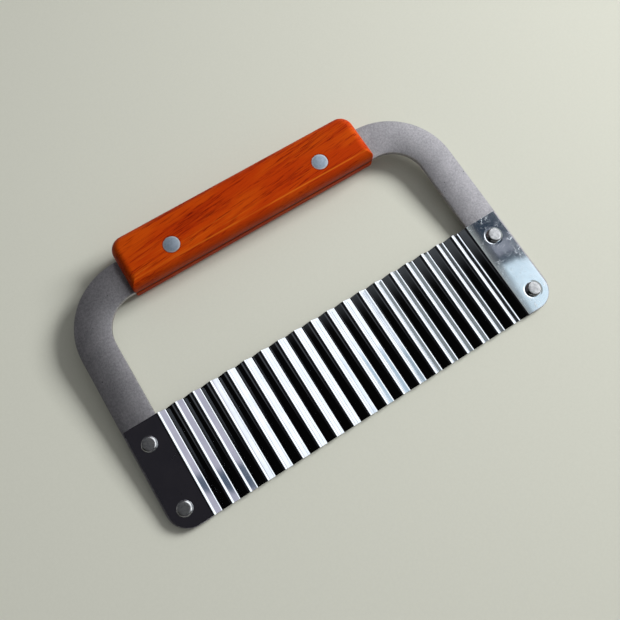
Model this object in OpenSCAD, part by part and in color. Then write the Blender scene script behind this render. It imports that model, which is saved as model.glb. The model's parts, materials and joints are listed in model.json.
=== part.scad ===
// Soap cutter: a corrugated steel blade riveted across the legs of a flat steel
// frame, with a slotted hardwood handle riveted on the bar of the frame.
// X runs along the blade, Y from the cutting edge to the handle, and Z points up
// from the table that the tool lies on. Sizes are in millimetres.

/* [Frame] */
// Length of the tool over the outer edges of both legs
tool_length = 190; // [170:1:230]
// Width of each leg
leg_w = 15.7; // [13:0.1:19]
// Width of the bar that runs through the handle
bar_w = 17; // [14:0.5:20]
// Thickness of the plate that the frame is cut from
frame_t = 2; // [1.5:0.1:3]
// Height of the hand gap, from the blade's top edge to the bar
gap_h = 50.7; // [44:0.1:70]
// Radius of the gap's two inner corners
inner_r = 15.5; // [8:0.5:20]
// Radius of the frame's two outer corners beside the handle
outer_r = 32; // [24:1:38]
// Radius of the rounded corner at the foot of each leg
foot_r = 10; // [6:0.5:12]
// How far the legs reach past the cutting edge
foot_extra = 0.3; // [0:0.1:1]

/* [Blade] */
// Width of the blade, from its top edge to the cutting edge
blade_w = 47.5; // [40:0.5:60]
// Thickness of the blade's sheet
blade_t = 0.6; // [0.4:0.05:0.9]
// Number of grooves between the legs
grooves = 19; // [15:1:21]
// How far the blade's flat ends reach past the legs' inner edges
flat_lip = 0.35; // [0.2:0.05:1]
// Depth of the grooves below the blade's flat ends
groove_depth = 2.15; // [1.4:0.05:2.6]
// Bend radius of the ridges, at the middle of the sheet
ridge_r = 2.2; // [1.2:0.1:2.4]
// Bend radius of the groove bottoms, at the middle of the sheet
valley_r = 1.3; // [0.9:0.1:1.6]
// How far the blade's outer edges stay inside the frame's
blade_inset = 1; // [0:0.1:2]

/* [Blade rivets] */
// Distance of the upper rivets from the blade's top edge
rivet_top_margin = 9.7; // [7:0.1:12]
// Distance of the lower rivets from the cutting edge
rivet_foot_margin = 8.3; // [7:0.1:12]
// Diameter of the shank
shank_d = 4; // [3:0.1:5]
// Diameter of the button head
head_d = 6.8; // [6:0.1:8]
// Height of the button head
head_h = 1.7; // [1.2:0.1:2]
// Diameter of the flat on top of the head
head_flat_d = 4.5; // [3.6:0.1:4.8]
// Diameter of the peened tail
tail_d = 5.6; // [5.4:0.1:7]
// Height of the peened tail
tail_h = 0.4; // [0.3:0.05:0.6]

/* [Handle] */
// Length of the handle
handle_l = 124; // [110:1:126]
// Height of the handle, across the tool
handle_h = 25; // [22:0.2:30]
// Thickness of the handle, from front face to back face
handle_t = 15.5; // [13.5:0.1:20]
// How far the wood reaches past the bar into the hand gap
handle_lip = 0.3; // [0:0.1:1]
// Radius of the rounded long and end edges
edge_r = 4.5; // [2:0.1:5.5]
// Radius of the two corners on the far side from the blade
far_corner_r = 6.5; // [5:0.5:9]
// Radius of the two corners beside the hand gap
near_corner_r = 1; // [0.5:0.25:4]

/* [Handle rivets] */
// Distance between the two handle rivets
handle_rivet_gap = 75.8; // [60:0.2:90]
// Diameter of the flush heads
cap_d = 7.5; // [6.6:0.1:9]
// Thickness of the flush heads
cap_t = 1.4; // [1:0.1:2]
// Outer diameter of the sleeve that passes through the bar
sleeve_d = 4.6; // [4.2:0.1:5.4]
// Diameter of the pin pressed into the sleeve
pin_d = 2.6; // [2:0.1:3]
// Wood left between the end of the sleeve and the pin's head
sleeve_stop = 1.2; // [0.8:0.1:2]
// Space past the end of the pin, inside the sleeve
pin_stop = 1; // [0.5:0.1:2]

/* [Fits] */
// Clearance around each rivet, on the radius
rivet_fit = 0.05; // [0.02:0.01:0.15]
// Clearance on each side of the bar in the handle's slot
slot_fit = 0.05; // [0.02:0.01:0.15]
// Clearance between the bar's far edge and the end of the slot
slot_end_fit = 0.2; // [0.1:0.05:0.5]

/* [Hidden] */

round_steps = 96;
arc_steps = 5;
cut_extra = 1;

half_l = tool_length / 2;
gap_half = half_l - leg_w;
foot_y = -(blade_w + foot_extra);
bar_far_y = gap_h + bar_w;
bar_mid_y = gap_h + bar_w / 2;
leg_mid_x = half_l - leg_w / 2;

// Heights above the middle of the frame's plate
blade_back_z = frame_t / 2;
blade_front_z = blade_back_z + blade_t;
blade_mid_z = blade_back_z + blade_t / 2;

handle_near_y = gap_h - handle_lip;
handle_far_y = handle_near_y + handle_h;
face_z = handle_t / 2;

rivet_upper_y = -rivet_top_margin;
rivet_lower_y = -(blade_w - rivet_foot_margin);
handle_rivet_x = handle_rivet_gap / 2;

// The corrugation: arcs joined by straight slopes, worked out from pitch and depth
groove_half = gap_half - flat_lip;
pitch = 2 * groove_half / grooves;
bend_sum = ridge_r + valley_r;
slope_reach = norm([bend_sum - groove_depth, pitch / 2]);
slope = atan2(pitch / 2, bend_sum - groove_depth) - acos(bend_sum / slope_reach);

// The tool lies on the handle's rounded edge and on whatever its foot reaches first
roll_y = handle_near_y + edge_r;
roll_z = edge_r - face_z;
function lying_angle(y, z) =
    asin(edge_r / norm([roll_y - y, roll_z - z])) - atan2(roll_z - z, roll_y - y);
rest_tilt = min(
    lying_angle(-blade_w, blade_back_z - groove_depth),
    lying_angle(foot_y, -frame_t / 2),
    lying_angle(rivet_lower_y - tail_d / 2, -frame_t / 2 - tail_h)
);
rest_z = edge_r - roll_y * sin(rest_tilt) - roll_z * cos(rest_tilt);
far_reach = (handle_far_y - edge_r) * cos(rest_tilt) + (face_z - edge_r) * sin(rest_tilt) + edge_r;
near_reach = min(
    foot_y * cos(rest_tilt) - frame_t / 2 * sin(rest_tilt),
    -blade_w * cos(rest_tilt) - blade_front_z * sin(rest_tilt)
);
rest_y = -(far_reach + near_reach) / 2;

// Lays a piece down from the frame's own plane to the way the tool rests on a table
module laid() {
    translate([0, rest_y, rest_z])
        rotate([rest_tilt, 0, 0])
            children();
}

// Outline of a plate between two heights, with one radius at its low corners and
// another at its high corners
module plate_outline(half_w, low_y, high_y, low_r, high_r) {
    translate([-half_w, low_y + low_r])
        square([2 * half_w, high_y - high_r - low_y - low_r]);
    translate([-(half_w - low_r), low_y])
        square([2 * (half_w - low_r), 2 * low_r]);
    translate([-(half_w - high_r), high_y - 2 * high_r])
        square([2 * (half_w - high_r), 2 * high_r]);
    for (side = [-1, 1]) {
        translate([side * (half_w - low_r), low_y + low_r])
            circle(r = low_r, $fn = round_steps);
        translate([side * (half_w - high_r), high_y - high_r])
            circle(r = high_r, $fn = round_steps);
    }
}

// Drill for all four blade rivets, through frame and blade
module blade_rivet_holes() {
    for (x = [-leg_mid_x, leg_mid_x])
        for (y = [rivet_upper_y, rivet_lower_y])
            translate([x, y, -(frame_t + cut_extra)])
                cylinder(d = shank_d + 2 * rivet_fit, h = 2 * (frame_t + blade_t + cut_extra), $fn = round_steps);
}

// Drill for the sleeves of both handle rivets
module sleeve_holes(depth) {
    for (x = [-handle_rivet_x, handle_rivet_x])
        translate([x, bar_mid_y, -depth / 2])
            cylinder(d = sleeve_d + 2 * rivet_fit, h = depth, $fn = round_steps);
}

// Flat plate bent round the hand gap: two legs and the bar inside the handle
module frame() {
    color([0.62, 0.61, 0.63])
        laid()
            difference() {
                translate([0, 0, -frame_t / 2])
                    linear_extrude(height = frame_t)
                        difference() {
                            plate_outline(half_l, foot_y, bar_far_y, foot_r, outer_r);
                            plate_outline(gap_half, foot_y - 3 * inner_r, gap_h, inner_r, inner_r);
                        }
                blade_rivet_holes();
                sleeve_holes(frame_t + 2 * cut_extra);
            }
}

// One half of a groove from its ridge down to its bottom, shifted from the middle of
// the sheet by off; turn is 1 going down to the right and -1 coming back up
function ridge_arc(x, off, turn) = [
    for (i = [0 : arc_steps])
        let (a = slope * i / arc_steps)
            [x + turn * (ridge_r + off) * sin(a), (ridge_r + off) * cos(a) - ridge_r]
];
function valley_arc(x, off, turn) = [
    for (i = [arc_steps : -1 : 1])
        let (a = slope * i / arc_steps)
            [x - turn * (valley_r - off) * sin(a),
             valley_r - groove_depth - (valley_r - off) * cos(a)]
];
function reversed(list) = [for (i = [len(list) - 1 : -1 : 0]) list[i]];
function sheet_side(off) = [
    [-(half_l - blade_inset), off],
    for (k = [0 : grooves - 1])
        let (start = -groove_half + k * pitch, middle = start + pitch / 2, finish = start + pitch)
            each concat(
                ridge_arc(start, off, 1),
                valley_arc(middle, off, 1),
                [[middle, off - groove_depth]],
                reversed(valley_arc(middle, off, -1)),
                [for (p = reversed(ridge_arc(finish, off, -1))) if (p[0] < finish - 0.001 || k == grooves - 1) p]
            ),
    [half_l - blade_inset, off]
];

// Corrugated sheet with two flat ends that lie on the frame's legs
module blade() {
    color([0.80, 0.82, 0.85])
        laid()
            difference() {
                intersection() {
                    translate([0, 0, blade_mid_z])
                        rotate([90, 0, 0])
                            linear_extrude(height = blade_w)
                                polygon(concat(sheet_side(blade_t / 2), reversed(sheet_side(-blade_t / 2))));
                    translate([0, 0, -2 * groove_depth])
                        linear_extrude(height = 4 * groove_depth)
                            plate_outline(half_l - blade_inset, -blade_w, 2 * foot_r, foot_r - blade_inset, foot_r / 2);
                }
                blade_rivet_holes();
            }
}

// Rounded rectangle about its own middle
module soft_rectangle(w, h, r) {
    plate_outline(w / 2, -h / 2, h / 2, r, r);
}

// Hardwood block, rounded all round and slotted from the hand gap for the bar
module handle() {
    mid_y = (handle_near_y + handle_far_y) / 2;
    color([0.76, 0.28, 0.06])
        laid()
            difference() {
                intersection() {
                    translate([0, 0, -face_z])
                        linear_extrude(height = handle_t)
                            plate_outline(handle_l / 2, handle_near_y, handle_far_y, near_corner_r, far_corner_r);
                    translate([-handle_l / 2, mid_y, 0])
                        rotate([90, 0, 90])
                            linear_extrude(height = handle_l)
                                soft_rectangle(handle_h, handle_t, edge_r);
                    translate([0, handle_far_y, 0])
                        rotate([90, 0, 0])
                            linear_extrude(height = handle_h)
                                soft_rectangle(handle_l, handle_t, edge_r);
                }
                bar_slot();
                sleeve_holes(2 * handle_t);
                for (x = [-handle_rivet_x, handle_rivet_x])
                    for (side = [-1, 1])
                        translate([x, bar_mid_y, side * face_z])
                            cylinder(d = cap_d + 2 * rivet_fit, h = 2 * cap_t, center = true, $fn = round_steps);
            }
}

// Saw slot for the bar
module bar_slot() {
    translate([-(handle_l / 2 + cut_extra), handle_near_y - cut_extra, -(frame_t / 2 + slot_fit)])
        cube([
            handle_l + 2 * cut_extra,
            bar_far_y + slot_end_fit - handle_near_y + cut_extra,
            frame_t + 2 * slot_fit
        ]);
}

// Half outline of a button: flat top, rounded rim and short straight foot
module button_half(d, h, flat_d) {
    rim_r = min((d - flat_d) / 2, 0.85 * h);
    square([d / 2, h - rim_r]);
    square([d / 2 - rim_r, h]);
    translate([d / 2 - rim_r, h - rim_r])
        intersection() {
            circle(r = rim_r, $fn = round_steps);
            square([rim_r, rim_r]);
        }
}

// Solid rivet: button head on the blade, shank through both sheets, peened tail
module blade_rivet(side, y) {
    color([0.72, 0.74, 0.76])
        laid()
            translate([side * leg_mid_x, y, 0])
                rotate_extrude($fn = round_steps) {
                    translate([0, blade_front_z])
                        button_half(head_d, head_h, head_flat_d);
                    translate([0, -frame_t / 2 - tail_h])
                        square([shank_d / 2, frame_t + blade_t + tail_h + head_h / 2]);
                    translate([0, -frame_t / 2])
                        mirror([0, 1])
                            button_half(tail_d, tail_h, tail_d - tail_h);
                }
}

module blade_rivet_upper_left() blade_rivet(-1, rivet_upper_y);
module blade_rivet_lower_left() blade_rivet(-1, rivet_lower_y);
module blade_rivet_upper_right() blade_rivet(1, rivet_upper_y);
module blade_rivet_lower_right() blade_rivet(1, rivet_lower_y);

// Front half of a handle rivet: flush head with a hollow sleeve through the bar
module handle_sleeve(side) {
    sleeve_l = handle_t - cap_t - sleeve_stop;
    bore_l = sleeve_l - cap_t;
    color([0.66, 0.70, 0.74])
        laid()
            translate([side * handle_rivet_x, bar_mid_y, face_z])
                difference() {
                    union() {
                        translate([0, 0, -cap_t])
                            cylinder(d = cap_d, h = cap_t, $fn = round_steps);
                        translate([0, 0, -sleeve_l])
                            cylinder(d = sleeve_d, h = sleeve_l, $fn = round_steps);
                    }
                    translate([0, 0, -sleeve_l - cut_extra])
                        cylinder(d = pin_d + 2 * rivet_fit, h = bore_l + cut_extra, $fn = round_steps);
                }
}

module handle_sleeve_left() handle_sleeve(-1);
module handle_sleeve_right() handle_sleeve(1);

// Back half of a handle rivet: flush head with a pin pressed into the sleeve
module handle_pin(side) {
    pin_l = handle_t - 2 * cap_t - pin_stop;
    color([0.66, 0.70, 0.74])
        laid()
            translate([side * handle_rivet_x, bar_mid_y, -face_z])
                union() {
                    cylinder(d = cap_d, h = cap_t, $fn = round_steps);
                    cylinder(d = pin_d, h = cap_t + pin_l, $fn = round_steps);
                }
}

module handle_pin_left() handle_pin(-1);
module handle_pin_right() handle_pin(1);

frame();
blade();
handle();
blade_rivet_upper_left();
blade_rivet_lower_left();
blade_rivet_upper_right();
blade_rivet_lower_right();
handle_sleeve_left();
handle_sleeve_right();
handle_pin_left();
handle_pin_right();
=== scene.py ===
import json
import math

import bmesh
import bpy
from mathutils import Matrix, Vector


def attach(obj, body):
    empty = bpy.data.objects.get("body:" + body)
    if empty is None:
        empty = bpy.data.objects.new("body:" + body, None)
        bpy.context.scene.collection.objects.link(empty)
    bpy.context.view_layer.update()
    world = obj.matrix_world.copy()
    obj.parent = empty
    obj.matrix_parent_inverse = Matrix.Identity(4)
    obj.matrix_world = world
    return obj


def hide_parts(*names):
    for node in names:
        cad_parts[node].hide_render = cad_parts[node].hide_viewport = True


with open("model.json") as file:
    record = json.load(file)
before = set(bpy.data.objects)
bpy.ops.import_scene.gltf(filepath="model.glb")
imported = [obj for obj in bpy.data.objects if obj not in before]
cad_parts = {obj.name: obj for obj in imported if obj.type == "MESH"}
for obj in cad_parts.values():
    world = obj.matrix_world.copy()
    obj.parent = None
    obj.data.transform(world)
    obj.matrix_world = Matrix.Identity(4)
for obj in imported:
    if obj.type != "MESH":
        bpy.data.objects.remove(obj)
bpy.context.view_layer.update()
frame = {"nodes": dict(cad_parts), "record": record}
scene = bpy.context.scene
mm = 0.001
print("frame loaded:", len(frame["nodes"]), "nodes")


# A wire is one output socket of a shader or geometry tree, and sums of wires add Math nodes
class Wire:
    def __init__(self, tree, socket=None):
        self.tree, self.socket = tree, socket

    def node(self, kind, settings=None, inputs=None, output=0):
        made = self.tree.nodes.new(kind)
        for name, value in (settings or {}).items():
            setattr(made, name, value)
        for key, value in (inputs or {}).items():
            if isinstance(value, Wire):
                self.tree.links.new(value.socket, made.inputs[key])
            else:
                made.inputs[key].default_value = value
        return Wire(self.tree, made.outputs[output])

    def sum(self, operation, *values):
        return self.node("ShaderNodeMath", {"operation": operation}, dict(enumerate(values)))

    def __add__(self, other):
        return self.sum("ADD", self, other)

    def __radd__(self, other):
        return self.sum("ADD", other, self)

    def __sub__(self, other):
        return self.sum("SUBTRACT", self, other)

    def __rsub__(self, other):
        return self.sum("SUBTRACT", other, self)

    def __mul__(self, other):
        return self.sum("MULTIPLY", self, other)

    def __truediv__(self, other):
        return self.sum("DIVIDE", self, other)

    def ramp(self, low, high):
        # 0 below low and 1 above high, with a soft rise between them
        return self.node("ShaderNodeMapRange", {"interpolation_type": "SMOOTHSTEP"}, {0: self, 1: low, 2: high})

    def clamp(self):
        return self.sum("MINIMUM", self.sum("MAXIMUM", self, 0.0), 1.0)

    def mix(self, first, second):
        # first where the wire is 0, second where it is 1
        settings = {"data_type": "RGBA", "clamp_factor": True}
        return self.node("ShaderNodeMix", settings, {0: self, 6: first, 7: second}, output=2)

    def split(self):
        return [self.node("ShaderNodeSeparateXYZ", None, {0: self}, output=i) for i in range(3)]


def colour(red, green, blue):  # screen values from 0 to 255 as linear light
    def linear(value):
        share = value / 255
        return share / 12.92 if share <= 0.04045 else ((share + 0.055) / 1.055) ** 2.4
    return (linear(red), linear(green), linear(blue), 1.0)


def band(value, low, high, softLow, softHigh):
    # 1 between low and high, fading out over softLow and softHigh
    return value.ramp(low - softLow, low + softLow) * (1 - value.ramp(high - softHigh, high + softHigh))


def newMaterial(name):
    material = bpy.data.materials.new(name)
    material.use_nodes = True
    material.node_tree.nodes.clear()
    return material, Wire(material.node_tree)


def finishMaterial(wire, surface):
    output = wire.tree.nodes.new("ShaderNodeOutputMaterial")
    wire.tree.links.new(surface.socket, output.inputs["Surface"])


def paint(wire, inputs, relief, height):
    # a Principled surface with a fine relief, whose strength and depth in metres are in relief
    strength, depth = relief
    bumpy = wire.node("ShaderNodeBump", None, {"Strength": strength, "Distance": depth, "Height": height})
    finishMaterial(wire, wire.node("ShaderNodeBsdfPrincipled", None, {**inputs, "Normal": bumpy}))


def toolPlace(wire, size=(1, 1, 1), turn=0.0):
    # place on the tool in millimetres, in the frame plate's own plane, then turned and divided by size
    objectOutput, kind = 3, {"vector_type": "TEXTURE"}
    place = wire.node("ShaderNodeTexCoord", output=objectOutput)
    place = wire.node("ShaderNodeMapping", kind, {
        "Vector": place, "Location": lay.to_translation(), "Rotation": (restTilt, 0, 0), "Scale": (mm, mm, mm)})
    return wire.node("ShaderNodeMapping", kind, {"Vector": place, "Rotation": (0, 0, turn), "Scale": size})


def noise(wire, size, detail, roughness, distortion=0.0, turn=0.0):
    # soft patches about size millimetres large, along the tool's own axes
    return wire.node("ShaderNodeTexNoise", {"noise_dimensions": "3D"}, {
        "Vector": toolPlace(wire, size, turn), "Scale": 1.0, "Detail": detail, "Roughness": roughness,
        "Distortion": distortion})


# Sizes of the whole tool, in millimetres in the frame plate's own plane, as in the part's source
tool = {
    "length": 190.0, "legWidth": 15.7, "barWidth": 17.0, "plate": 2.0, "gapHeight": 50.7,
    "innerRadius": 15.5, "outerRadius": 32.0, "footRadius": 10.0, "footExtra": 0.3, "rivetFit": 0.05,
}
blade = {
    "height": 47.5, "sheet": 0.6, "grooves": 19, "flatLip": 0.35, "depth": 2.15, "ridgeRadius": 2.2,
    "valleyRadius": 1.3, "inset": 1.0, "edgeBevel": 0.14, "sharpAngle": 20,
    "stepsPerSlope": 60, "flatSteps": 40, "rows": 4,
    "valleyShare": 0.35, "straightShare": 0.5,  # where on a slope's steps the valley's arc and the straight end
}
handle = {
    "length": 124.0, "height": 25.0, "thickness": 15.5, "lip": 0.3, "edgeRadius": 4.5, "farCorner": 6.5,
    "nearCorner": 1.0, "leastCorner": 0.15, "slotFit": 0.05, "slotEndFit": 0.2, "slotOverrun": 3.0,
    "edgeSteps": 12, "cornerSteps": 12, "recessSteps": 64, "boreSteps": 48, "sharpAngle": 30,
}
halfLength = tool["length"] / 2
gapHalf = halfLength - tool["legWidth"]
barMiddle = tool["gapHeight"] + tool["barWidth"] / 2
legMiddle = halfLength - tool["legWidth"] / 2
bladeFront = tool["plate"] / 2 + blade["sheet"]
handleNear = tool["gapHeight"] - handle["lip"]
handleFar = handleNear + handle["height"]
handleFace = handle["thickness"] / 2

# The mount on the handle's back tells how the tool lies: lay takes the tool's own millimetres to its resting place
backMount = next(m for m in frame["record"]["mounts"] if m["name"] == "handle_back")
restTilt = math.atan2(backMount["axis"][1], -backMount["axis"][2])
lay = (
    Matrix.Translation(backMount["pos_m"])
    @ Matrix.Rotation(restTilt, 4, "X")
    @ Matrix.Translation((0, -(handleNear + handleFar) / 2 * mm, handleFace * mm))
)
print("tool leans", round(math.degrees(restTilt), 3), "degrees")


def arcPoints(centreX, centreY, radius, start, end, steps):
    return [
        (centreX + radius * math.cos(math.radians(start + (end - start) * i / steps)),
         centreY + radius * math.sin(math.radians(start + (end - start) * i / steps)))
        for i in range(steps + 1)
    ]


def meshObject(name, bm):
    mesh = bpy.data.meshes.new(name)
    bm.to_mesh(mesh)
    bm.free()
    made = bpy.data.objects.new(name, mesh)
    scene.collection.objects.link(made)
    return made


def settleMesh(source, name, sharpAngle):
    # turns an object with modifiers into a plain mesh in metres that lies where the tool lies
    graph = bpy.context.evaluated_depsgraph_get()
    mesh = bpy.data.meshes.new_from_object(source.evaluated_get(graph), preserve_all_data_layers=True, depsgraph=graph)
    bpy.data.objects.remove(source)
    mesh.name = name
    mesh.transform(Matrix.Scale(mm, 4))
    mesh.transform(lay)
    for polygon in mesh.polygons:
        polygon.use_smooth = True
    mesh.set_sharp_from_angle(angle=math.radians(sharpAngle))
    made = bpy.data.objects.new(name, mesh)
    scene.collection.objects.link(made)
    print("made", name, len(mesh.polygons), "faces")
    return made


def skinLoops(bm, loops):
    # joins closed loops of points with quads, first loop to last
    rings = [[bm.verts.new(p) for p in loop] for loop in loops]
    for low, high in zip(rings, rings[1:]):
        count = len(low)
        for i in range(count):
            j = (i + 1) % count
            bm.faces.new((low[i], low[j], high[j], high[i]))
    return rings


def closeRings(bm, rings):
    # fills the flat area between an outer ring of points and the holes in it
    edges = []
    for ring in rings:
        for first, second in zip(ring, ring[1:] + ring[:1]):
            edges.append(bm.edges.get((first, second)) or bm.edges.new((first, second)))
    bmesh.ops.triangle_fill(bm, use_beauty=True, use_dissolve=False, edges=edges)


# The frame is one plate: its outline is skinned from back to front, a little rounded at both edges
plateShape = {"edgeRound": 0.3, "holeSteps": 48, "cornerSteps": 28, "sharpAngle": 40}


def plateOutline(inset):
    # the outline of the frame, pulled in by inset on every side
    half, gap = halfLength - inset, gapHalf + inset
    foot = -(blade["height"] + tool["footExtra"]) + inset
    far = tool["gapHeight"] + tool["barWidth"] - inset
    near = tool["gapHeight"] + inset
    outer, inner = tool["outerRadius"] - inset, tool["innerRadius"] + inset
    footRadius = tool["footRadius"] - inset
    steps = plateShape["cornerSteps"]
    right = arcPoints(half - footRadius, foot + footRadius, footRadius, -90, 0, steps)
    right += arcPoints(half - outer, far - outer, outer, 0, 90, steps)
    left = [(-x, y) for x, y in reversed(right)]
    inside = [(-gap, foot)] + [(-x, y) for x, y in arcPoints(gap - inner, near - inner, inner, 0, 90, steps)]
    return right + left + inside + [(-x, y) for x, y in reversed(inside)]


def buildFrame():
    bm = bmesh.new()
    edge, half = plateShape["edgeRound"], tool["plate"] / 2
    quarter = [(0.0, edge), (0.3 * edge, 0.3 * edge), (edge, 0.0)]  # drop below the face and inset, over the edge
    levels = [(-half + drop, inset) for drop, inset in quarter]
    levels += [(half - drop, inset) for drop, inset in reversed(quarter)]
    outer = skinLoops(bm, [[(x, y, z) for x, y in plateOutline(inset)] for z, inset in levels])
    holes = []
    rows = (bladeRivet["top"], bladeRivet["bottom"])
    places = [(side * legMiddle, y, bladeRivet["shank"]) for side in (-1, 1) for y in rows]
    places += [(side * handleRivet["spread"] / 2, barMiddle, handleRivet["sleeve"]) for side in (-1, 1)]
    for x, y, diameter in places:
        circle = arcPoints(x, y, diameter / 2 + tool["rivetFit"], 0, 360, plateShape["holeSteps"])[:-1]
        holes.append(skinLoops(bm, [[(px, py, z) for px, py in circle] for z in (-half, half)]))
    closeRings(bm, [outer[0]] + [h[0] for h in holes])
    closeRings(bm, [outer[-1]] + [h[-1] for h in holes])
    bmesh.ops.recalc_face_normals(bm, faces=bm.faces)
    return settleMesh(meshObject("framePlateDraft", bm), "framePlate", plateShape["sharpAngle"])


# The blade's sheet comes from a rule: arcs on the ridges and in the grooves, straight slopes between them, flat ends
def bladeTree(material):
    tree = bpy.data.node_groups.new("corrugatedBlade", "GeometryNodeTree")
    tree.interface.new_socket("Geometry", in_out="OUTPUT", socket_type="NodeSocketGeometry")
    pitch = 2 * (gapHalf - blade["flatLip"]) / blade["grooves"]
    bendSum = blade["ridgeRadius"] + blade["valleyRadius"]
    reach = math.hypot(bendSum - blade["depth"], pitch / 2)
    slope = math.atan2(pitch / 2, bendSum - blade["depth"]) - math.acos(bendSum / reach)
    straight = (pitch / 2 - bendSum * math.sin(slope)) / math.cos(slope)
    sizes = {
        "Half Length": halfLength - blade["inset"], "Height": blade["height"],
        "Corner Radius": tool["footRadius"] - blade["inset"], "Pitch": pitch, "Depth": blade["depth"],
        "Ridge Radius": blade["ridgeRadius"], "Valley Radius": blade["valleyRadius"], "Slope": slope,
        "Straight": straight, "Middle Height": tool["plate"] / 2 + blade["sheet"] / 2,
    }
    for name in sizes:
        tree.interface.new_socket(name, in_out="INPUT", socket_type="NodeSocketFloat")
    wire = Wire(tree)
    entry = tree.nodes.new("NodeGroupInput")
    size = {name: Wire(tree, entry.outputs[name]) for name in sizes}
    slopes, steps, flats = blade["grooves"], blade["stepsPerSlope"], blade["flatSteps"]
    columns = 2 * (slopes * steps + flats)
    grid = wire.node("GeometryNodeMeshGrid", None, {
        "Size X": float(columns), "Size Y": 1.0, "Vertices X": columns + 1, "Vertices Y": blade["rows"] + 1})
    along, across, _ = wire.node("GeometryNodeInputPosition").split()
    column = wire.sum("ROUND", wire.sum("ABSOLUTE", along))
    side = wire.sum("SIGN", along)
    bend = wire.sum("MINIMUM", column / steps, float(slopes))
    share = wire.sum("PINGPONG", bend, 1.0)  # 0 at a groove's bottom, 1 on a ridge
    valleyShare, straightShare = blade["valleyShare"], blade["straightShare"]
    valleyTurn = (share / valleyShare).clamp() * size["Slope"]
    run = ((share - valleyShare) / (straightShare - valleyShare)).clamp() * size["Straight"]
    ridgeTurn = size["Slope"] - ((share - straightShare) / (1 - straightShare)).clamp() * size["Slope"]

    def sine(angle):
        return wire.sum("SINE", angle)

    def cosine(angle):
        return wire.sum("COSINE", angle)

    reachOut = (
        size["Valley Radius"] * sine(valleyTurn) + run * cosine(size["Slope"])
        + size["Ridge Radius"] * (sine(size["Slope"]) - sine(ridgeTurn))
    )
    rise = (
        size["Valley Radius"] * (1 - cosine(valleyTurn)) + run * sine(size["Slope"])
        + size["Ridge Radius"] * (cosine(ridgeTurn) - cosine(size["Slope"])) - size["Depth"]
    )
    bottom = wire.sum("ROUND", bend / 2) * 2
    direction = wire.sum("SIGN", bend - bottom)
    flatShare = ((column - slopes * steps) / flats).clamp()
    flatStart = size["Pitch"] * (slopes / 2)
    flatRun = wire.sum("SINE", flatShare * (math.pi / 2)) * (size["Half Length"] - flatStart)
    x = bottom * size["Pitch"] / 2 + direction * reachOut + flatRun
    cornerIn = wire.sum("MAXIMUM", x - (size["Half Length"] - size["Corner Radius"]), 0.0)
    cornerSquare = wire.sum("MAXIMUM", size["Corner Radius"] * size["Corner Radius"] - cornerIn * cornerIn, 0.0)
    height = size["Height"] - size["Corner Radius"] + wire.sum("SQRT", cornerSquare)
    place = wire.node("ShaderNodeCombineXYZ", None, {
        0: side * x, 1: (across - 0.5) * height, 2: size["Middle Height"] + rise})
    shaped = wire.node("GeometryNodeSetPosition", None, {"Geometry": grid, "Position": place})
    plain = wire.node("GeometryNodeRealizeInstances", None, {0: shaped})
    painted = wire.node("GeometryNodeSetMaterial", None, {"Geometry": plain, "Material": material})
    exitNode = tree.nodes.new("NodeGroupOutput")
    tree.links.new(painted.socket, exitNode.inputs[0])
    return tree, sizes


def addNodes(made, tree, sizes):
    modifier = made.modifiers.new("shape", "NODES")
    modifier.node_group = tree
    for item in tree.interface.items_tree:
        if item.in_out == "INPUT" and item.name in sizes:
            modifier[item.identifier] = sizes[item.name]


def buildBlade(material):
    made = meshObject("bladeDraft", bmesh.new())
    tree, sizes = bladeTree(material)
    addNodes(made, tree, sizes)
    thick = made.modifiers.new("sheet", "SOLIDIFY")
    thick.thickness, thick.offset, thick.use_even_offset = blade["sheet"], 0.0, True
    edge = made.modifiers.new("edge", "BEVEL")
    edge.width, edge.segments, edge.limit_method, edge.angle_limit = blade["edgeBevel"], 2, "ANGLE", math.radians(60)
    return settleMesh(made, "bladeSheet", blade["sharpAngle"])


def addCylinder(bm, x, z, diameter, length, steps):
    # a cutter for one of the handle's rivets, a little wider than what it holds
    radius = diameter / 2 + tool["rivetFit"]
    bmesh.ops.create_cone(bm, cap_ends=True, segments=steps, radius1=radius, radius2=radius, depth=length,
                          matrix=Matrix.Translation((x, barMiddle, z)))


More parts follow.
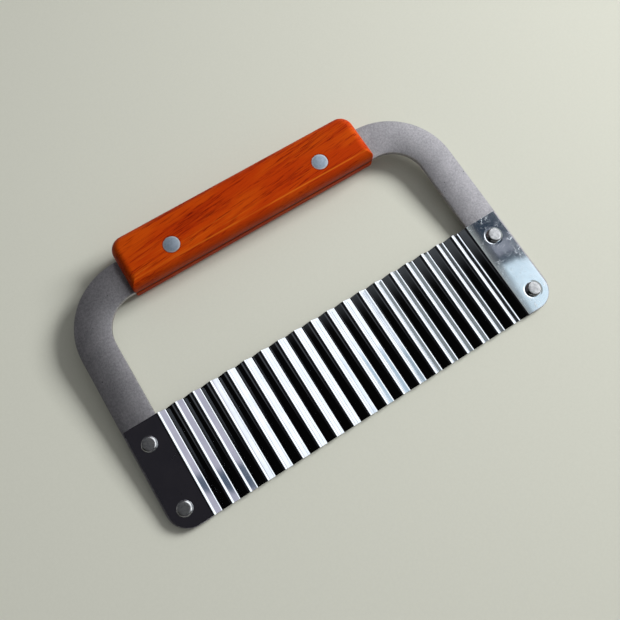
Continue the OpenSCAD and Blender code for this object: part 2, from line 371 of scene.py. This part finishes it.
# The handle is one block with rounded edges, sawn for the bar and drilled for its rivets
def buildHandle():
    bm = bmesh.new()
    radius, steps = handle["edgeRadius"], handle["edgeSteps"]
    half = handle["length"] / 2

    def outline(inset):
        near, far = (max(handle[corner] - inset, handle["leastCorner"]) for corner in ("nearCorner", "farCorner"))
        low, high, wide, count = handleNear + inset, handleFar - inset, half - inset, handle["cornerSteps"]
        points = arcPoints(wide - near, low + near, near, -90, 0, count)
        points += arcPoints(wide - far, high - far, far, 0, 90, count)
        points += arcPoints(-wide + far, high - far, far, 90, 180, count)
        return points + arcPoints(-wide + near, low + near, near, 180, 270, count)

    turns = [math.pi / 2 * i / steps for i in range(steps + 1)]
    levels = [(-handleFace + radius * (1 - math.cos(t)), radius * (1 - math.sin(t))) for t in turns]
    levels += [(-z, inset) for z, inset in reversed(levels)]
    rings = skinLoops(bm, [[(x, y, z) for x, y in outline(inset)] for z, inset in levels])
    for ring in (rings[0], rings[-1]):
        bm.faces.new(ring)
    bmesh.ops.recalc_face_normals(bm, faces=bm.faces)
    block = meshObject("handleDraft", bm)
    cutters = bmesh.new()
    slotLow = handleNear - handle["slotOverrun"]
    slotHigh = tool["gapHeight"] + tool["barWidth"] + handle["slotEndFit"]
    slotHalf = tool["plate"] / 2 + handle["slotFit"]
    bmesh.ops.create_cube(cutters, size=1.0, matrix=(
        Matrix.Translation((0, (slotLow + slotHigh) / 2, 0))
        @ Matrix.Diagonal((handle["length"] + 2 * handle["slotOverrun"], slotHigh - slotLow, 2 * slotHalf, 1))))
    slot = meshObject("slotDraft", cutters)
    recesses = bmesh.new()
    for side in (-1, 1):
        x = side * handleRivet["spread"] / 2
        for face in (-1, 1):
            addCylinder(recesses, x, face * handleFace, handleRivet["cap"], 2 * handleRivet["capThickness"],
                        handle["recessSteps"])
        addCylinder(recesses, x, 0, handleRivet["sleeve"], handle["thickness"], handle["boreSteps"])
    recess = meshObject("recessDraft", recesses)
    for tag, cutter in (("slot", slot), ("recess", recess)):
        cut = block.modifiers.new(tag, "BOOLEAN")
        cut.operation, cut.solver, cut.object = "DIFFERENCE", "EXACT", cutter
        cut.use_self = tag == "recess"  # its cylinders cross one another
    made = settleMesh(block, "handleBlock", handle["sharpAngle"])
    for cutter in (slot, recess):
        bpy.data.objects.remove(cutter)
    return made


# Rivets are turned from a half outline and set at their places
bladeRivet = {
    "head": 6.8, "headHeight": 1.7, "headFlat": 4.5, "shank": 4.0, "tail": 5.6, "tailHeight": 0.4, "tailRim": 0.2,
    "spreadX": 2 * legMiddle, "top": -9.7, "bottom": -(blade["height"] - 8.3), "segments": 64,
    "crownSteps": 8, "rimSteps": 3, "flatRing": 0.62,  # flatRing: a ring of points on the head's flat, as a share of it
}
handleRivet = {
    "cap": 7.5, "capThickness": 1.4, "sleeve": 4.6, "pin": 2.6, "sleeveStop": 1.2, "pinStop": 1.0,
    "spread": 75.8, "segments": 72, "rim": 0.12, "rimSteps": 3,
}
turning = {"axisRadius": 1e-4, "weld": 1e-3, "sharpAngle": 28}


def rivetTree(name, segments, countY, material):
    tree = bpy.data.node_groups.new(name, "GeometryNodeTree")
    tree.interface.new_socket("Geometry", in_out="INPUT", socket_type="NodeSocketGeometry")
    for size in ("Spread X", "Spread Y", "Middle Y"):
        tree.interface.new_socket(size, in_out="INPUT", socket_type="NodeSocketFloat")
    tree.interface.new_socket("Geometry", in_out="OUTPUT", socket_type="NodeSocketGeometry")
    wire = Wire(tree)
    entry = tree.nodes.new("NodeGroupInput")
    given = {s.name: Wire(tree, s) for s in entry.outputs if s.name}
    section = wire.node("GeometryNodeMeshToCurve", None, {0: given["Geometry"]})
    ring = wire.node("GeometryNodeCurvePrimitiveCircle", None, {
        "Resolution": segments, "Radius": turning["axisRadius"]})
    turned = wire.node("GeometryNodeCurveToMesh", None, {"Curve": ring, "Profile Curve": section})
    closed = wire.node("GeometryNodeMergeByDistance", None, {
        "Geometry": turned, "Distance": turning["weld"]})
    corners = wire.node("GeometryNodeMeshGrid", None, {
        "Size X": given["Spread X"], "Size Y": given["Spread Y"], "Vertices X": 2, "Vertices Y": countY})
    offset = wire.node("ShaderNodeCombineXYZ", None, {1: given["Middle Y"]})
    places = wire.node("GeometryNodeTransform", None, {"Geometry": corners, "Translation": offset})
    copies = wire.node("GeometryNodeInstanceOnPoints", None, {"Points": places, "Instance": closed})
    plain = wire.node("GeometryNodeRealizeInstances", None, {0: copies})
    painted = wire.node("GeometryNodeSetMaterial", None, {"Geometry": plain, "Material": material})
    exitNode = tree.nodes.new("NodeGroupOutput")
    tree.links.new(painted.socket, exitNode.inputs[0])
    return tree


def turnedPieces(name, outline, material, spreadX, spreadY, middleY, countY, segments):
    # outline runs from the axis at the bottom to the axis at the top, as (radius, height); a profile's y turns into -z
    bm = bmesh.new()
    points = [bm.verts.new((radius, -height, 0)) for radius, height in outline]
    for first, second in zip(points, points[1:]):
        bm.edges.new((first, second))
    made = meshObject(name + "Draft", bm)
    tree = rivetTree(name + "Set", segments, countY, material)
    addNodes(made, tree, {"Spread X": spreadX, "Spread Y": spreadY, "Middle Y": middleY})
    made = settleMesh(made, name, turning["sharpAngle"])
    bm = bmesh.new()
    bm.from_mesh(made.data)
    bmesh.ops.recalc_face_normals(bm, faces=bm.faces)
    bm.to_mesh(made.data)
    bm.free()
    return made


def roundRim(radius, height, rim, steps):
    # points over a rounded edge, from the side to the flat, going up
    turns = [math.pi / 2 * i / steps for i in range(steps + 1)]
    return [(radius - rim + rim * math.cos(t), height - rim + rim * math.sin(t)) for t in turns]


def buildBladeRivets(material):
    r, back, front = bladeRivet, -tool["plate"] / 2, bladeFront
    crown = (r["head"] - r["headFlat"]) / 2
    outline = [(0, back - r["tailHeight"])]
    tail = roundRim(r["tail"] / 2, back + r["tailHeight"], r["tailRim"], r["rimSteps"])
    outline += [(x, 2 * back - y) for x, y in reversed(tail)]
    outline += [(r["tail"] / 2, back), (r["shank"] / 2, back), (r["shank"] / 2, front), (r["head"] / 2, front)]
    outline += roundRim(r["head"] / 2, front + r["headHeight"], crown, r["crownSteps"])
    outline += [(r["flatRing"] * r["headFlat"] / 2, front + r["headHeight"]), (0, front + r["headHeight"])]
    spreadY, middleY = r["top"] - r["bottom"], (r["top"] + r["bottom"]) / 2
    return turnedPieces("bladeRivets", outline, material, r["spreadX"], spreadY, middleY, 2, r["segments"])


def buildHandleRivets(material):
    r, face = handleRivet, handleFace
    sleeveLow = face - (handle["thickness"] - r["capThickness"] - r["sleeveStop"])
    boreTop = face - r["capThickness"]
    bore = r["pin"] / 2 + tool["rivetFit"]
    sleeve = [(0, boreTop), (bore, boreTop), (bore, sleeveLow), (r["sleeve"] / 2, sleeveLow)]
    sleeve += [(r["sleeve"] / 2, boreTop), (r["cap"] / 2, boreTop)]
    rim = roundRim(r["cap"] / 2, face, r["rim"], r["rimSteps"])
    sleeve += rim + [(0, face)]
    pinTop = -face + r["capThickness"] + handle["thickness"] - 2 * r["capThickness"] - r["pinStop"]
    pin = [(0, -face)] + [(x, -y) for x, y in reversed(rim)]
    pin += [(r["cap"] / 2, -boreTop), (r["pin"] / 2, -boreTop), (r["pin"] / 2, pinTop), (0, pinTop)]
    places = (r["spread"], 0.0, barMiddle, 1, r["segments"])
    return (turnedPieces("handleSleeves", sleeve, material, *places),
            turnedPieces("handlePins", pin, material, *places))


# Finishes. Patch sizes are in millimetres along the grain or polish, across it and in depth, and a share says how much
# of a colour is laid over what is under it
woodLook = {
    "grainTurn": math.radians(6.5), "body": colour(176, 54, 3), "warm": colour(188, 70, 5), "deep": colour(156, 40, 2),
    "pore": colour(106, 17, 1), "worn": colour(206, 104, 24), "under": colour(148, 47, 2), "roughness": 0.45,
    "specular": 0.08, "relief": (0.35, 0.00008), "creaseY": handleNear + 3.0, "creaseWidth": 0.5,
    "bandSize": (34, 1.8, 1.8), "cloudSize": (30, 9, 9), "streakSize": (13, 0.62, 0.62), "poreSize": (7, 0.32, 0.32),
    "threadSize": (22, 0.5, 0.5), "threadTurn": 0.4, "threadX": (-58, 4, 6, 16), "threadY": 8, "capGapShadeWidth": 0.3,
    "deepShare": 0.8, "poreShare": 0.85, "threadShare": 0.4, "underShare": 0.6, "capGapShadeShare": 0.65,
}


def capDistance(wire):
    # how far a place on the handle's faces is from the nearer rivet's middle
    x, y, _ = toolPlace(wire).split()
    along, across = wire.sum("ABSOLUTE", x) - handleRivet["spread"] / 2, y - barMiddle
    return wire.sum("SQRT", along * along + across * across)


def woodMaterial():
    look = woodLook
    material, wire = newMaterial("stainedLacqueredWood")
    turn = look["grainTurn"]
    bands = noise(wire, look["bandSize"], 3.0, 0.55, 0.3, turn)
    cloud = noise(wire, look["cloudSize"], 2.0, 0.5, turn=turn)
    streaks = noise(wire, look["streakSize"], 2.0, 0.5, turn=turn)
    pores = noise(wire, look["poreSize"], 1.5, 0.4, turn=turn)
    threads = noise(wire, look["threadSize"], 1.0, 0.5, turn=turn * look["threadTurn"])
    base = cloud.ramp(0.38, 0.66).mix(look["body"], look["warm"])
    base = (bands.ramp(0.48, 0.7) * look["deepShare"]).mix(base, look["deep"])
    groups = bands.ramp(0.42, 0.6)  # streaks and pores gather in the deep bands
    base = (streaks.ramp(0.54, 0.66) * (groups * 0.32 + 0.06)).mix(base, look["pore"])
    dashes = pores.ramp(0.57, 0.64) * (groups * 0.75 + 0.25)
    base = (dashes * look["poreShare"]).mix(base, look["pore"])
    x, y, z = toolPlace(wire).split()
    top = z.ramp(handleFace - 1.2, handleFace - 0.4)  # the front face alone
    creaseY = look["creaseY"]
    lines = threads.ramp(0.6, 0.7) * band(x, *look["threadX"]) * band(y, creaseY, creaseY + look["threadY"], 1.5, 5)
    base = (lines * top * look["threadShare"]).mix(base, look["worn"])  # pale worn threads, left of the middle
    under = 1 - y.ramp(handleNear - 0.5, handleNear + 4)
    base = (under * look["underShare"]).mix(base, look["under"])  # painted shade with some darker stain: the near side darkens towards its edge
    crease = 1 - wire.sum("ABSOLUTE", y - creaseY).ramp(0.1, look["creaseWidth"])
    crease = crease * top * (bands.ramp(0.35, 0.5) * 0.45 + 0.3) * (x.ramp(-60, 20) * 0.5 + 0.5)
    base = crease.mix(base, look["worn"])  # the edge beside the hand gap, rubbed pale
    capEdge = handleRivet["cap"] / 2
    ring = band(capDistance(wire), capEdge - 0.1, capEdge + look["capGapShadeWidth"], 0.1, 0.2)
    base = (ring * top * look["capGapShadeShare"]).mix(base, look["pore"])  # painted shade: a dark ring in the gap around the flush heads
    paint(wire, {"Base Color": base, "Roughness": look["roughness"] + dashes * 0.2,
                 "Specular IOR Level": look["specular"]}, look["relief"], 1 - dashes * 0.8 - streaks * 0.2)
    return material


frameLook = {
    "light": colour(201, 198, 201), "dark": colour(160, 157, 161), "pit": colour(60, 58, 60),
    "paintedKerfBrown": colour(70, 24, 6), "roughness": 0.56, "relief": (0.3, 0.00004), "grindTurn": 1.1,
    "mottleSize": (1.1, 1.1, 1.1), "gritSize": (0.8, 0.5, 0.5), "wideSize": (9, 6, 9), "pitSize": (1.2, 1.2, 1.2),
    "mottleShare": 0.45, "gritShare": 0.35, "wideShare": 0.2, "paintedKerfY": (30, 31),
}


def satinMaterial():
    look = frameLook
    material, wire = newMaterial("satinGroundSteel")
    mottle = noise(wire, look["mottleSize"], 3.0, 0.65, 0.3)
    grit = noise(wire, look["gritSize"], 2.0, 0.6, turn=look["grindTurn"])
    wide = noise(wire, look["wideSize"], 2.0, 0.5, turn=look["grindTurn"])
    pits = noise(wire, look["pitSize"], 0.0, 0.5)
    tone = mottle.ramp(0.36, 0.64) * look["mottleShare"] + grit.ramp(0.36, 0.64) * look["gritShare"]
    tone = tone + wide.ramp(0.35, 0.65) * look["wideShare"]
    base = tone.mix(look["dark"], look["light"])
    base = pits.ramp(0.85, 0.87).mix(base, look["pit"])
    x, y, _ = toolPlace(wire).split()
    kerfEnd = handle["length"] / 2
    paintedKerf = (1 - wire.sum("ABSOLUTE", x).ramp(kerfEnd - 0.5, kerfEnd)) * y.ramp(*look["paintedKerfY"])
    base = paintedKerf.mix(base, look["paintedKerfBrown"])  # painted reflection and shade: the bar's edge in the kerf is painted the dark brown of the wood it would mirror
    paint(wire, {"Base Color": base, "Metallic": 1 - paintedKerf * 0.9,
                 "Roughness": look["roughness"] + (mottle - 0.5) * 0.1}, look["relief"], mottle * 0.5 + grit * 0.5)
    return material


bladeLook = {
    "tone": colour(216, 219, 224), "haze": colour(206, 210, 216), "roughness": 0.05, "scratch": 0.22,
    "relief": (0.25, 0.0001), "hazeSize": (7, 7, 7), "dentSize": (5.5, 38, 5.5), "breakSize": (5, 5, 5),
    "longScratch": {"size": (4, 2.2, 4), "turn": 0.5, "width": 0.022, "amount": 1.0},
    "crossScratch": {"size": (2.2, 3.6, 3), "turn": 1.9, "width": 0.02, "amount": 0.8},
    "endScratches": 0.85, "middleScratches": 0.15,
    "dish": (3.3, 4.0, 0.25, 0.45),  # the sheet's hollow around each rivet: from, to and how softly both ends fade
}


def scratches(wire, size, turn, width, amount):
    # thin curved lines where a wide soft noise passes its middle, broken up by a second noise
    lines = 1 - wire.sum("ABSOLUTE", noise(wire, size, 1.0, 0.4, 0.8, turn) - 0.5).ramp(0, width)
    return lines * noise(wire, bladeLook["breakSize"], 2.0, 0.5, turn=turn).ramp(0.5, 0.68) * amount


def mirrorMaterial():
    look = bladeLook
    material, wire = newMaterial("mirrorPolishedSteel")
    haze = noise(wire, look["hazeSize"], 3.0, 0.55)
    dents = noise(wire, look["dentSize"], 1.0, 0.5)
    marks = wire.sum("MAXIMUM", scratches(wire, **look["longScratch"]), scratches(wire, **look["crossScratch"]))
    x, y, _ = toolPlace(wire).split()
    ends = wire.sum("ABSOLUTE", x).ramp(gapHalf - 3, gapHalf + 1)
    marks = marks * (ends * look["endScratches"] + look["middleScratches"])
    middleY, reachY = (bladeRivet["top"] + bladeRivet["bottom"]) / 2, (bladeRivet["top"] - bladeRivet["bottom"]) / 2
    along, across = wire.sum("ABSOLUTE", x) - legMiddle, wire.sum("ABSOLUTE", y - middleY) - reachY
    dish = band(wire.sum("SQRT", along * along + across * across), *look["dish"])
    rough = look["roughness"] + haze.ramp(0.45, 0.8) * 0.02 + marks * look["scratch"]
    base = haze.ramp(0.3, 0.7).mix(look["tone"], look["haze"])
    paint(wire, {"Base Color": base, "Metallic": 1.0, "Roughness": rough}, look["relief"],
          haze * 0.05 + dents * 0.6 + marks * 0.02 - dish * 0.7)
    return material


rivetLook = {
    "tone": colour(214, 214, 215), "worn": colour(176, 176, 179), "roughness": 0.2, "brushed": 0.2,
    "relief": (0.35, 0.00003), "patchSize": (1.3, 1.3, 1.3), "lineSize": (3.2, 0.16, 3.2), "lineTurn": 0.9,
}


def rivetMaterial():
    look = rivetLook
    material, wire = newMaterial("polishedRivetSteel")
    patches = noise(wire, look["patchSize"], 3.0, 0.6)
    lines = noise(wire, look["lineSize"], 2.0, 0.5, turn=look["lineTurn"])
    z = toolPlace(wire).split()[2]
    headTop = bladeFront + bladeRivet["headHeight"]
    flatTop = z.ramp(headTop - 0.1, headTop - 0.02)
    base = patches.ramp(0.35, 0.7).mix(look["tone"], look["worn"])
    rough = look["roughness"] + patches.ramp(0.4, 0.8) * 0.1 + flatTop * look["brushed"]
    paint(wire, {"Base Color": base, "Metallic": 1.0, "Roughness": rough}, look["relief"], lines * 0.7 + patches * 0.3)
    return material


capLook = {
    "tone": colour(200, 212, 226), "worn": colour(172, 186, 202), "rim": colour(228, 228, 230), "roughness": 0.6,
    "relief": (0.25, 0.00003), "patchSize": (1.6, 1.6, 1.6), "lineSize": (4, 0.18, 4), "lineTurn": 0.3,
}


def aluminiumMaterial():
    look = capLook
    material, wire = newMaterial("sandedAluminium")
    lines = noise(wire, look["lineSize"], 2.0, 0.5, turn=look["lineTurn"])
    patches = noise(wire, look["patchSize"], 3.0, 0.6)
    base = (lines.ramp(0.35, 0.7) * 0.5 + patches.ramp(0.4, 0.7) * 0.5).mix(look["tone"], look["worn"])
    base = (capDistance(wire).ramp(2.9, 3.4) * 0.7).mix(base, look["rim"])
    paint(wire, {"Base Color": base, "Metallic": 1.0, "Roughness": look["roughness"] + (patches - 0.5) * 0.2},
          look["relief"], lines)
    return material


def wear(made, material, slotName, *nodes):
    # paints a piece and sets it in place of its nodes of the CAD model
    made.data.materials.clear()
    made.data.materials.append(material)
    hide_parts(*nodes)
    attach(made, "root")


mirror, rivetSteel, aluminium = mirrorMaterial(), rivetMaterial(), aluminiumMaterial()
wear(buildFrame(), satinMaterial(), "frame_steel", "frame")
wear(buildBlade(mirror), mirror, "blade_steel", "blade")
wear(buildHandle(), woodMaterial(), "handle_wood", "handle")
wear(buildBladeRivets(rivetSteel), rivetSteel, "blade_rivets", "blade_rivet_upper_left", "blade_rivet_lower_left",
     "blade_rivet_upper_right", "blade_rivet_lower_right")
sleeves, pins = buildHandleRivets(aluminium)
wear(sleeves, aluminium, "handle_rivets", "handle_sleeve_left", "handle_sleeve_right")
wear(pins, aluminium, "handle_rivets", "handle_pin_left", "handle_pin_right")
print("pieces dressed")

# The floor is seen from above only, so that the tool's underside can be looked at
stageLook = {
    "floorColour": colour(208, 209, 197), "floorShade": colour(206, 207, 195), "floorSize": 3.0, "floorDrop": 0.0001,
    "roughness": 0.7, "specular": 0.2,
}


def buildFloor():
    look = stageLook
    bm = bmesh.new()
    bmesh.ops.create_grid(bm, x_segments=8, y_segments=8, size=look["floorSize"])
    bmesh.ops.translate(bm, verts=bm.verts, vec=(0, 0, -look["floorDrop"]))
    floor = meshObject("paleFloor", bm)
    material, wire = newMaterial("paleTable")
    grain = noise(wire, (1, 1, 1), 3.0, 0.6)
    shader = wire.node("ShaderNodeBsdfPrincipled", None, {
        "Base Color": grain.ramp(0.3, 0.7).mix(look["floorColour"], look["floorShade"]),
        "Roughness": look["roughness"], "Specular IOR Level": look["specular"]})
    below = wire.node("ShaderNodeNewGeometry", output="Backfacing")
    clear = wire.node("ShaderNodeBsdfTransparent")
    finishMaterial(wire, wire.node("ShaderNodeMixShader", None, {0: below, 1: shader, 2: clear}))
    floor.data.materials.append(material)


# One soft lamp at the side, which mirrors don't show: its spread keeps the floor beneath it from burning out
lampLook = {
    "distance": 1.4, "height": math.radians(30), "size": (0.65, 0.48), "power": 5.05, "spread": math.radians(75),
}


def buildLamp():
    look = lampLook
    lamp = bpy.data.lights.new("windowLight", "AREA")
    lamp.shape, lamp.energy, lamp.spread = "RECTANGLE", look["power"], look["spread"]
    lamp.size, lamp.size_y = look["size"]
    made = bpy.data.objects.new("windowLight", lamp)
    made.location = Vector((math.cos(look["height"]), 0.0, math.sin(look["height"]))) * look["distance"]
    made.rotation_euler = (-made.location).to_track_quat("-Z", "Y").to_euler()
    made.visible_camera = False
    made.visible_glossy = False
    scene.collection.objects.link(made)


# The room exists in reflections alone. A lean is in degrees from straight up towards +x, a side in degrees from the
# x-z plane towards +y, and each range says from, to, and how softly its two ends fade
roomLook = {
    "fill": 0.27, "fillLean": 0.27,  # the even light on everything, and how much more of it comes from +x
    "walls": (0.09, 0.09, 0.095, 1), "ceiling": (0.002, 0.002, 0.002, 1), "overhead": (0.024, 0.022, 0.026, 1),
    "cornice": (0.45, 0.48, 0.46, 1), "window": (1.5, 1.55, 1.58, 1), "daylight": (2.3, 2.35, 2.4, 1),
    "curtain": (0.62, 0.60, 0.70, 1), "glaze": (0.70, 0.92, 1.1, 1), "sill": (0.27, 0.29, 0.29, 1),
    "darkPane": (0.10, 0.14, 0.20, 1), "blindDark": (0.035, 0.055, 0.085, 1), "blindPale": (0.95, 1.15, 1.25, 1),
    "blindPatch": (0.36, 0.38, 0.44, 1), "dusk": (0.09, 0.095, 0.10, 1), "behindCamera": (0.72, 0.72, 0.68, 1),
}
roomRange = {
    "stripSide": (-30, 20, 10, 6), "ceilingLean": (-96, 16, 4, 1), "overheadLean": (-14, -5, 3, 2),
    "corniceLean": (17.0, 24.5, 0.7, 0.3), "windowSide": (-42, 48, 4, 4), "windowStart": 26.8,
    "curtainLean": (62, 68.4, 1, 0.6), "curtainSide": (-14, 20, 3, 3), "slitLean": (61, 68.4, 1, 0.5),
    "glazeLean": (79.5, 86, 2.5, 1), "blindLean": (24.9, 27.6, 0.4, 0.5), "patchLean": (25.2, 26.8, 0.2, 0.2),
    "patchTilt": (3.4, 4.8, 0.25, 0.25), "secondBounce": (2.4, 2.6), "secondStart": 2.3,
}


def buildWorld():
    look, within = roomLook, roomRange
    world = bpy.data.worlds.new("studioRoom")
    scene.world = world
    world.use_nodes = True
    world.node_tree.nodes.clear()
    wire = Wire(world.node_tree)
    glossy = wire.node("ShaderNodeLightPath", output="Is Glossy Ray")
    camera = wire.node("ShaderNodeLightPath", output="Is Camera Ray")
    x, y, z = wire.node("ShaderNodeTexCoord", output=0).split()
    lean = wire.sum("ARCTAN2", x, z) * math.degrees(1)
    side = wire.sum("ARCTAN2", y, wire.sum("SQRT", x * x + z * z)) * math.degrees(1)
    # light that meets the metal twice sees a simpler room
    again = wire.node("ShaderNodeLightPath", output="Ray Depth").ramp(*within["secondBounce"])
    strip = band(side, *within["stripSide"])
    # ceiling, with a grey shade at one side, and the cornice above the window
    dusk = (side + (lean + 48) * 0.25).ramp(4.8, 8.5) * (1 - lean.ramp(-35, -20))
    dark = dusk.mix(band(lean, *within["overheadLean"]).mix(look["ceiling"], look["overhead"]), look["dusk"])
    room = (band(lean, *within["ceilingLean"]) * strip).mix(look["walls"], dark)
    room = (band(lean, *within["corniceLean"]) * strip).mix(room, look["cornice"])
    # window, from its top down: daylight, curtain, a dark slit beside it, a glazed pane and the sill
    pane = (1 - lean.ramp(34, 48)).mix(look["window"], look["daylight"])
    pane = (band(lean, *within["curtainLean"]) * band(side, *within["curtainSide"])).mix(pane, look["curtain"])
    drop = lean - 64
    slit = (side + drop * 0.5).ramp(1.6, 2.0) * (1 - (side + drop * 0.25).ramp(3.1, 3.7))
    pane = (slit * band(lean, *within["slitLean"])).mix(pane, look["darkPane"])
    glaze = band(lean, *within["glazeLean"]) * (1 - (side - (lean - 82) * 0.3).ramp(1.6, 2.8))
    pane = (glaze * 0.85).mix(pane, look["glaze"])
    pane = (lean - (side - 3) * 0.25).ramp(84.3, 85).mix(pane, look["sill"])
    low = (1 - (side - (lean - 27) * 0.5).ramp(2.2, 3.4)).mix(look["daylight"], look["blindPale"])
    pane = (again * (1 - lean.ramp(29, 30))).mix(pane, low)
    pane = (again * lean.ramp(40, 43)).mix(pane, look["cornice"])
    start = lean - within["windowStart"] + again * within["secondStart"]
    opening = start.ramp(-0.3, 0.3) * (1 - lean.ramp(92, 96)) * band(side, *within["windowSide"])
    room = opening.mix(room, pane)
    # blind across the window's top edge
    tilt = side + (lean - 26) * 0.25
    blind = tilt.ramp(2.3, 2.7).mix(look["blindPale"], look["blindDark"])
    blind = (band(tilt, *within["patchTilt"]) * band(lean, *within["patchLean"])).mix(blind, look["blindPatch"])
    room = (band(lean, *within["blindLean"]) * strip * (1 - again)).mix(room, blind)
    fill = x * look["fillLean"] + look["fill"]
    tone = glossy.mix(wire.node("ShaderNodeCombineColor", None, {0: fill, 1: fill, 2: fill}), room)
    tone = camera.mix(tone, look["behindCamera"])
    back = wire.node("ShaderNodeBackground", None, {"Color": tone, "Strength": 1.0})
    output = world.node_tree.nodes.new("ShaderNodeOutputWorld")
    world.node_tree.links.new(back.socket, output.inputs["Surface"])


cameraLook = {
    "sensor": 36.0, "lens": 37.84, "place": (-0.045811, -0.086381, 0.273606), "turn": (0.319331, 0.011031, -0.558349),
}


def buildCamera():
    camera = bpy.data.objects.new("camera", bpy.data.cameras.new("camera"))
    camera.data.sensor_width, camera.data.lens = cameraLook["sensor"], cameraLook["lens"]
    camera.location, camera.rotation_euler = cameraLook["place"], cameraLook["turn"]
    scene.collection.objects.link(camera)
    scene.camera = camera


scene.view_settings.view_transform = "Standard"
buildFloor()
buildWorld()
buildLamp()
buildCamera()
print("stage set")
